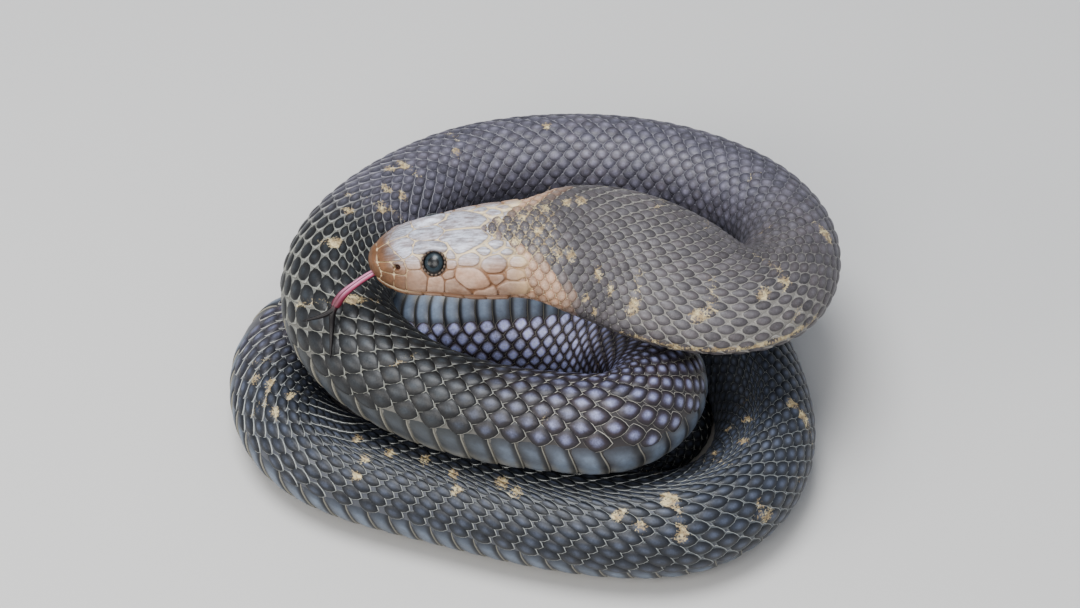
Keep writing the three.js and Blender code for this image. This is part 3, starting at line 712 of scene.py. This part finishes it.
def build_eye(side, sign, finish):
    """A ball whose front swells slightly, in rings about its outward axis."""
    centre, out, ahead, across, _ = eye_frame(sign)
    rings, columns, bulge = 48, 72, 0.012
    turn, dip = np.meshgrid(ring_angles(columns), np.linspace(0.004, 3.13, rings))
    radius = EYE_RADIUS * (1 + bulge * np.exp(-(dip / 0.45) ** 2))
    spoke = np.cos(turn)[..., None] * ahead + np.sin(turn)[..., None] * across
    ball = radius[..., None] * (np.cos(dip)[..., None] * out + np.sin(dip)[..., None] * spoke)
    poles = EYE_RADIUS * np.stack([(1 + bulge) * out, -out])
    front = rings * columns
    faces = grid_faces(rings, columns).tolist() + fan(0, columns, front).tolist()
    faces += fan(front - columns, columns, front + 1)[:, ::-1].tolist()
    masks = {"dip": np.r_[dip.ravel(), 0, np.pi], "turn": np.r_[np.cos(8 * turn).ravel(), 1, 1]}
    piece("eyeball_" + side, centre + np.concatenate([ball.reshape(-1, 3), poles]), faces, masks,
          finish, ["eye_" + side])


def tube(middle, across, flat, width, depth):
    """Rings round a path: its middle, plus a width across and a depth along the flat for each
    place on the path and angle round it."""
    return middle[:, None] + width[..., None] * across[:, None] + depth[..., None] * flat[:, None]


def build_orbit(side, sign, finish):
    """Ring of small beads round the eye: a rounded cord over the skin, its girth waving. Its place
    on the skin is found by steps towards a ring of about 2.7 mm across the eye's axis."""
    around, sides = 216, 10
    centre, out, ahead, across, point = eye_frame(sign)
    turn, c, d = ring_angles(around), np.cos(ring_angles(sides)), np.sin(ring_angles(sides))
    bead = np.abs(np.cos(9 * turn))[:, None] ** 0.7
    want = (2.68 + 0.1 * bead) * np.stack([np.cos(turn), np.sin(turn)], -1)
    s = EYE_STATION[0] + want[:, 0]
    a = sign * (np.radians(EYE_STATION[1]) + want[:, 1] / HEAD_RADIUS)
    for _ in range(12):
        here, _, s_mm, _ = flesh_frame(s, a)
        off = want - np.stack([(here - point) @ ahead, (here - point) @ across], -1)
        s = s + 0.9 * off[:, 0] / s_mm
        rise = (flesh(s, a + 0.02) - flesh(s, a - 0.02)) @ across / 0.04
        a = a + 0.9 * off[:, 1] / np.where(np.abs(rise) < 4, 4 * np.sign(rise), rise)
    base, normal = flesh_frame(s, a)[:2]
    spoke = np.cos(turn)[:, None] * ahead + np.sin(turn)[:, None] * across
    thick = 0.2 + 0.12 * bead
    points = tube(base + normal * (0.02 + 0.25 * bead), spoke, normal, thick * c, thick * d)
    faces = grid_faces(around + 1, sides)[:, (0, 3, 2, 1)] % (around * sides)
    piece("orbit_" + side, points, faces.tolist(), {"bead": bead},
          finish)


# tongue: its places in the source's frame
TONGUE_INSIDE = (-38.8, -20.6, 63.2)
TONGUE_ROOT = (-41.5, -22, 62.5)
TONGUE_BEND = [(-44.6, -23.9, 61.4), (-47.7, -26.6, 60.2), (-49.5, -28.9, 58.4)]
TINE_NEAR = [(-50, -31.4, 55.2), (-50.2, -34, 52), (-50.4, -36.5, 49)]
TINE_FAR = [(-51.4, -29.8, 57.4), (-54.2, -30.4, 56.6), (-57.1, -30.8, 56)]


def ribbon(path, width, thick, count=60, sides=16):
    """Rings of a flat rounded ribbon along a smooth path, creased along its top and closed to a
    point at both ends."""
    path = np.array(path, float)
    at = distances(path)
    t = np.linspace(0, 1, count)
    middle = natural_spline(at, path)(t * at[-1])
    along = unit(np.gradient(middle, axis=0))
    across = unit(np.cross(np.array([0.1, -0.7, 0.7]), along))
    c, d = np.cos(ring_angles(sides)), np.sin(ring_angles(sides))
    cap = np.sqrt(np.clip(np.minimum(t / 0.02, (1 - t) / 0.04), 0.0004, 1)) / 2
    wide, deep = (np.interp(t, *width) * cap)[:, None], (np.interp(t, *thick) * cap)[:, None]
    crease = 1 - 0.5 * np.exp(-((c + 0.3) / 0.25) ** 2) * (d > 0)
    points = tube(middle, across, np.cross(along, across), wide * c, deep * d * crease)
    faces = grid_faces(count, sides).tolist()
    faces += [list(range(sides)), list(range((count - 1) * sides, count * sides))[::-1]]
    return points.reshape(-1, 3), faces, np.repeat(t, sides), np.tile(c, count)


def build_tongue(finish):
    """Stem and two tines as ribbons, the tines starting side by side inside the stem."""
    stem_path = [TONGUE_INSIDE, TONGUE_ROOT, *TONGUE_BEND]
    ribbons = [ribbon(stem_path, ([0, 0.5, 0.9, 1], [1.7, 1.8, 2.5, 1.9]), ([0, 1], [1.2, 1.0]))]
    ribbons += [ribbon([*TONGUE_BEND[1:], *tine], ([0, 0.2, 0.6, 1], [1.7, 1.8, 1.1, 0.4]),
                       ([0, 1], [0.9, 0.3])) for tine in (TINE_NEAR, TINE_FAR)]
    points, faces, way, side = zip(*ribbons)
    starts = np.cumsum([0, *map(len, points)]).tolist()
    faces = [[k + start for k in face] for start, own in zip(starts, faces) for face in own]
    way, tine = np.concatenate(way), np.arange(starts[-1]) >= starts[1]
    masks = {"tip": way * tine, "stem": np.maximum(way, tine), "side": np.concatenate(side)}
    piece("tongue_ribbon", np.concatenate(points), faces, masks, finish, ["tongue"])


# materials
def paint(code):
    """A linear colour from its six-figure code."""
    c = np.array([int(code[k:k + 2], 16) for k in (0, 2, 4)]) / 255
    return (*np.where(c <= 0.04045, c / 12.92, ((c + 0.055) / 1.055) ** 2.4), 1.0)


def maths(operation, swapped=False):
    """A method of Value: one Math node on a value and another value or number."""
    def method(self, other):
        pair = (other, self) if swapped else (self, other)
        return self.finish.node("ShaderNodeMath", {"operation": operation}, dict(enumerate(pair)))
    return method


class Value:
    """A socket of a material. Arithmetic on it adds Math nodes."""

    def __init__(self, finish, socket):
        self.finish, self.socket = finish, socket

    __add__ = __radd__ = maths("ADD")
    __mul__ = __rmul__ = maths("MULTIPLY")
    __sub__, __rsub__ = maths("SUBTRACT"), maths("SUBTRACT", swapped=True)
    least, most = maths("MINIMUM"), maths("MAXIMUM")

    def between(self, low, high):
        """0 at low and 1 at high, with no corner."""
        return self.finish.node("ShaderNodeMapRange", {"interpolation_type": "SMOOTHSTEP"},
                                {0: self, 1: low, 2: high})

    def stretch(self, start, full, fade, end):
        """0 before start, 1 from full to fade, 0 past the end."""
        return self.between(start, full) * self.between(end, fade)


class Finish:
    """A material being built: its nodes come from node(), and its shader from surface()."""

    def __init__(self, name):
        self.material = bpy.data.materials.new(name)
        self.material.use_nodes = True
        self.tree = self.material.node_tree
        self.tree.nodes.clear()

    def node(self, kind, settings=(), inputs=(), output=0):
        made = self.tree.nodes.new(kind)
        for key, value in dict(settings).items():
            setattr(made, key, value)
        for key, value in dict(inputs).items():
            if isinstance(value, Value):
                self.tree.links.new(value.socket, made.inputs[key])
            else:
                made.inputs[key].default_value = value
        return Value(self, made.outputs[output]) if made.outputs else made

    def mask(self, name):
        return self.node("ShaderNodeAttribute", {"attribute_name": name}, output=2)

    def mix(self, factor, a, b):
        """One colour into another, each a value or a code."""
        a, b = (paint(colour) if isinstance(colour, str) else colour for colour in (a, b))
        return self.node("ShaderNodeMix", {"data_type": "RGBA"}, {0: factor, 6: a, 7: b}, 2)

    def shade(self, colour, amount):
        """A colour made lighter or darker by a number near 1."""
        return self.node("ShaderNodeVectorMath", {"operation": "SCALE"}, {0: colour, 3: amount})

    def noise(self, where, scale, detail, rough):
        return self.node("ShaderNodeTexNoise", (),
                         {"Vector": where, "Scale": scale, "Detail": detail, "Roughness": rough})

    def grain(self, scale, detail=3.0, rough=0.55):
        """Noise from 0 to 1 on the object's own coordinates, in specks a metre."""
        return self.noise(self.node("ShaderNodeTexCoord", output=3), scale, detail, rough)

    def surface(self, colour, rough, bump=None, **sockets):
        """The finished material, with a bump from a height, a distance and a strength."""
        inputs = {key.replace("_", " "): value for key, value in sockets.items()}
        if bump:
            keys = ("Height", "Distance", "Strength")
            inputs["Normal"] = self.node("ShaderNodeBump", (), dict(zip(keys, bump)))
        inputs |= {"Base Color": colour, "Roughness": rough}
        shader = self.node("ShaderNodeBsdfPrincipled", (), inputs)
        self.node("ShaderNodeOutputMaterial", (), {0: shader})
        return self.material


CREAM = "d6c69c"


def zoned(f, codes):
    """A colour that changes along the body with its markings, the same for skin and scales: slate,
    then the front loop, the dark coils, the brown side, the hood and the head."""
    colour, *others = codes.split()
    for zone, other in zip(("front", "dark", "brown", "hood", "tan"), others):
        colour = f.mix(f.mask(zone), colour, other)
    return colour


def scale_finish():
    """Horny scales: a painted highlight on the middle, painted shade in a dark ring all round it,
    then a fold of skin, pale where the skin is open and painted dark where it is closed, and a thin
    pale line along the outline. Cream patches break over them. The inner coil under the head is
    painted brighter: painted light."""
    f = Finish("scales")
    rho, out, bare, inner = f.mask("rho"), f.mask("out"), f.mask("open"), f.mask("inner")
    cloud, speck = f.grain(500, 4), f.grain(2400, 3)
    # light: colours of the painted highlight on each scale's middle, one for each zone
    light = zoned(f, "7e7b89 8e92b2 4e5462 3a3e42 6c686a ccb09c")
    ground = zoned(f, "5e5c66 3c3740 2b2f37 28292a 5c585a bc9c84")
    # painted shade: the dark colour round the foot of each dome and in the closed gaps between
    # scales
    painted_shade = zoned(f, "484650 262123 1a1c20 181818 4e4a4a 926e56")
    fold = zoned(f, "706e74 545254 686c6e 7e7e77 8c8882 ceb896")
    line = zoned(f, "8e8c92 aeaaa0 acaeaa 96968e a8a49c e0ceb0")
    warm = zoned(f, "625c62 3e3234 303032 2c2a28 5e5656 c29e84")
    # painted highlight on each dome's middle, broader and stronger on the inner coil under the head
    middle = rho.between(0.7 + 0.2 * inner, 0.06 + 0.2 * inner) * (1.7 * cloud + 0.2 * inner)
    colour = f.mix(middle.least(1.0), f.mix(f.mask("tint") * 0.7, ground, warm), light)
    # painted shade darkening each dome towards its rim
    colour = f.mix(rho.between(0.62, 0.97) * 0.85, colour, painted_shade)
    # painted light: scales of the inner coil under the head are made much brighter
    bright = (1 + 1.8 * inner) * (0.7 + 0.36 * f.mask("tone") + 0.9 * (speck - 0.5))
    colour = f.shade(colour, bright + 0.5 * (cloud - 0.5))
    # painted shade in the gaps where the skin between scales is closed
    skin = f.shade(f.mix(bare * 0.9, painted_shade, fold), 0.6 + 0.8 * cloud)
    colour = f.mix(rho.between(0.97, 1.05), colour, skin)
    edge = out.between(0.92, 0.97) * (0.3 + 0.7 * f.mask("aft").between(-0.5, 0.5))
    colour = f.mix((edge * (0.3 + 1.3 * cloud)).least(1.0), colour, line)
    broken = f.mask("cream") * (0.72 + 0.3 * rho.between(0.8, 1.05))
    patch = (broken + 1.7 * (f.grain(1900, 5, 0.7) - 0.5)).between(0.5, 0.72)
    stain = f.mix(f.grain(700, 2).between(0.35, 0.6), CREAM, "aa9470")
    colour = f.mix(patch * 0.85, colour, f.shade(stain, 0.75 + 0.5 * speck))
    rough = 0.36 + 0.2 * cloud + 0.2 * patch + 0.12 * rho.between(0.9, 1.05)
    return f.surface(colour, rough, (speck * 0.5 + cloud, 0.00013, 0.7),
                     Coat_Weight=0.12, Coat_Roughness=0.3)


def skin_finish():
    """Soft skin between the scales, and the horn of the head shields with their seams. The crown is
    grey with a painted bluish-white sheen in streaks drawn out along it, and the mouth's groove and
    the nostril's pit are painted dark as painted shade."""
    f = Finish("skin")
    seam, crown, snout = f.mask("seam"), f.mask("crown"), f.mask("snout")
    cloud, speck = f.grain(260, 4), f.grain(1500, 3)
    between = zoned(f, "64636a 3a3636 54565c 6c6a64 84807a ceb28e")
    fleck = (f.mask("cream") + 0.6 * (speck - 0.5)).between(0.35, 0.7)
    between = f.shade(f.mix(fleck * 0.9, between, CREAM), 0.66 + 0.6 * cloud)
    place = f.node("ShaderNodeCombineXYZ", (), {0: 0.2 * f.mask("along"), 1: f.mask("around")})
    streak = f.noise(place, 1.2, 4.0, 0.7)
    horn = f.mix(snout * 0.95, "bc9e8a", "684626")
    # the crown's grey horn, with a painted bluish-white sheen along the streaks
    crown_grey_and_sheen = f.mix(streak.between(0.38, 0.6), "949298", "cad0dd")
    horn = f.mix(crown * 0.9, horn, crown_grey_and_sheen)
    rust = (cloud - 0.35).between(0.05, 0.3) * (0.5 - 0.3 * crown)
    horn = f.mix(rust, horn, "966c4e")
    # the streaks of the painted sheen brighten the horn too
    bright = 0.76 + 0.26 * f.mask("tone") + 0.5 * (speck - 0.5) + 0.5 * (streak - 0.5)
    horn = f.shade(horn, bright)
    line = f.mix((crown * 0.9).most(snout * 0.65), "866246", "e2d0ac")
    horn = f.mix(seam.between(0.02, 0.3) * (0.5 + 0.6 * speck) * 0.5, horn, "684e3e")
    horn = f.mix(seam.between(0.25, 0.8) * (0.35 + 1.1 * cloud).least(1.0), horn, line)
    colour = f.mix(f.mask("plate"), between, horn)
    colour = f.mix(f.mask("lid") * 0.75, colour, "3a322e")
    # painted shade in the mouth's groove and the nostril's pit
    colour = f.mix(f.mask("pit").between(0.1, 0.8) * 0.9, colour, "3e2018")
    return f.surface(colour, 0.34 + 0.2 * cloud, (speck * 0.4 + cloud, 0.00008, 0.6),
                     Coat_Weight=0.15, Coat_Roughness=0.28)


def belly_finish():
    """Wide smooth plates: slate at the sides, paler below, a painted blue-grey sheen across the
    middle of each, painted shade in a dark band before its hind edge, and the edge itself thin and
    pale.
    The inner coil's plates under the head are painted brighter: painted light."""
    f = Finish("belly_plates")
    aft, rho = f.mask("aft"), f.mask("rho")
    cloud, speck = f.grain(240, 4), f.grain(1600, 2)
    colour = zoned(f, "5c5d64 44454a 3e424a 3a3c3c 84807a d2ba96")
    colour = f.mix((1 - rho).between(0.45, 0.9) * 0.5, colour, "9e9a8e")
    # painted sheen: a blue-grey highlight across the middle of each plate
    soft = aft.stretch(-0.7, 0.2, 0.4, 0.95) * rho.between(1.08, 0.8)
    soft = soft * (1 - 0.8 * f.mask("brown")) * (0.2 + 1.1 * cloud)
    colour = f.mix(soft.least(1.0), colour, "748090")
    # painted shade in a dark band before each plate's hind edge
    colour = f.mix(aft.between(0.6, 1.0) * 0.7, colour, "2c2c2c")
    # painted light: plates of the inner coil under the head are made brighter
    bright = (1 + 0.9 * f.mask("inner")) * (0.78 + 0.2 * f.mask("tone") + 0.3 * (speck - 0.5))
    colour = f.shade(colour, bright + 0.6 * (cloud - 0.5))
    colour = f.mix(aft.between(1.03, 1.07) * 0.7, colour, "a4a092")
    return f.surface(colour, 0.34 + 0.2 * cloud, (speck, 0.00005, 0.5),
                     Coat_Weight=0.15, Coat_Roughness=0.22)


def eye_finish():
    """Wet dark ball: round black pupil, dark teal iris with fine spokes, and a brown rim."""
    f = Finish("eye")
    dip, cloud = f.mask("dip"), f.grain(1800, 3)
    iris = f.mix(cloud, "10181c", "3c4a52")
    colour = f.mix(dip.stretch(0.3, 0.36, 0.5, 0.62) * 0.8, "060709", iris)
    colour = f.mix(dip.between(0.62, 0.72) * 0.7, colour, "161212")
    return f.surface(colour, 0.34 + 0.03 * f.mask("turn"), Coat_Weight=0.5,
                     Coat_Roughness=0.24, IOR=1.38)


def orbit_finish():
    """Small dark beads of skin round the eye."""
    f = Finish("orbit_scales")
    bead, cloud = f.mask("bead"), f.grain(900, 3)
    colour = f.mix(bead * (0.5 + 0.5 * cloud), "221c1c", "705e50")
    return f.surface(colour, 0.38 + 0.2 * cloud, (cloud, 0.00005, 0.5))


def tongue_finish():
    """Moist pink flesh with a dark groove and rims, maroon at the bend and black on the tines."""
    f = Finish("tongue")
    side, cloud = f.mask("side"), f.grain(700, 3)
    colour = f.mix(side.between(-0.2, 0.9), "c4829e", "963e54")
    dark = side.stretch(-0.5, -0.34, -0.26, -0.1) + (side * side).between(0.62, 0.9)
    colour = f.mix(dark.least(1.0) * 0.85, colour, "401024")
    colour = f.mix(f.mask("stem").between(0.45, 0.95) * 0.9, colour, "54121e")
    colour = f.mix(f.mask("tip").between(0.02, 0.3), colour, "0e0708")
    return f.surface(f.shade(colour, 0.85 + 0.3 * cloud), 0.34 + 0.1 * cloud,
                     (cloud, 0.0001, 0.3), Coat_Weight=0.2, Coat_Roughness=0.15, IOR=1.35)


def floor_finish():
    """Plain pale floor with the faintest unevenness."""
    f = Finish("floor_pale")
    cloud = f.grain(6, 2)
    colour = f.mix(cloud * 0.2, "ceccc8", "c6c4c0")
    return f.surface(colour, 0.85 + 0.05 * cloud)


# stage, light and camera
def build_stage():
    """A floor that curves up at the back, far from the object."""
    half, bend, rise = 2.5, 0.85, 1.6
    x, way = np.linspace(-half, half, 21), np.linspace(0, 1, 41)[:, None]
    y = -half + 2 * half * np.minimum(way / bend, 1)
    z = -0.0002 + rise * np.maximum(way - bend, 0) / (1 - bend)
    points = np.stack(np.broadcast_arrays(x, y, z), -1).reshape(-1, 3)
    mesh = bpy.data.meshes.new("floor")
    mesh.from_pydata(points, [], grid_faces(41, 21, closed=False)[:, (0, 3, 2, 1)].tolist())
    mesh.shade_smooth()
    mesh.materials.append(floor_finish())
    add_object("floor", mesh)


TARGET = Vector((0, 0, 0.03))   # the middle of the coils


def add_lamp(name, place, size, power, colour):
    """A round lamp aimed at the coils."""
    data = bpy.data.lights.new(name, "AREA")
    data.shape, data.size, data.energy, data.color = "DISK", size, power, colour
    add_object(name, data, place, TARGET)


def build_light():
    """Soft cool light from above on the left, weaker and warmer lamps in front and on the left."""
    world = bpy.data.worlds.new("studio")
    world.use_nodes = True
    sky = world.node_tree.nodes["Background"].inputs
    sky[0].default_value, sky[1].default_value = (0.82, 0.88, 1.0, 1), 0.5
    bpy.context.scene.world = world
    add_lamp("lamp_above", (-0.15, -0.08, 0.98), 0.5, 7.4, (0.95, 0.97, 1.0))
    add_lamp("lamp_front", (-0.14, -0.62, 0.6), 0.5, 2.8, (1.0, 0.98, 0.95))
    add_lamp("lamp_left", (-0.8, -0.5, 0.5), 0.4, 2.4, (1.0, 0.96, 0.9))
    bpy.context.scene.view_settings.look = "AgX - Medium High Contrast"


def build_camera():
    """Long lens, 46 degrees above the horizon, looking along +Y past the middle of the coils."""
    distance, height = 0.78, np.radians(46)
    data = bpy.data.cameras.new("camera")
    data.sensor_width, data.lens = 36.0, 102.67
    data.clip_start, data.clip_end = 0.05, 20.0
    target = TARGET - 0.001 * Vector(MIDDLE)
    place = target + distance * Vector((0, -np.cos(height), np.sin(height)))
    bpy.context.scene.camera = add_object("camera", data, place, target)


# everything together
build_camera()
build_light()
build_stage()
scales, belly = scale_finish(), belly_finish()
orbit, eye = orbit_finish(), eye_finish()
build_skin(skin_finish())
for coat_name, coat_start, coat_end, coat_slot in (
        ("neck", 18, 118, "hood_skin"), ("back", 118, 296, "body_skin"),
        ("front", 296, 516, "body_skin"), ("ground", 516, 740, "body_skin"),
        ("tail", 740, BODY_LENGTH, "body_skin")):
    build_coat("scales_" + coat_name, coat_start, coat_end, scales)
build_belly("belly_upper", 50, 516, belly)
build_belly("belly_ground", 516, BODY_LENGTH - 4, belly)
for side_name, side_sign in (("near", 1), ("far", -1)):
    build_eye(side_name, side_sign, eye)
    build_orbit(side_name, side_sign, orbit)
build_tongue(tongue_finish())
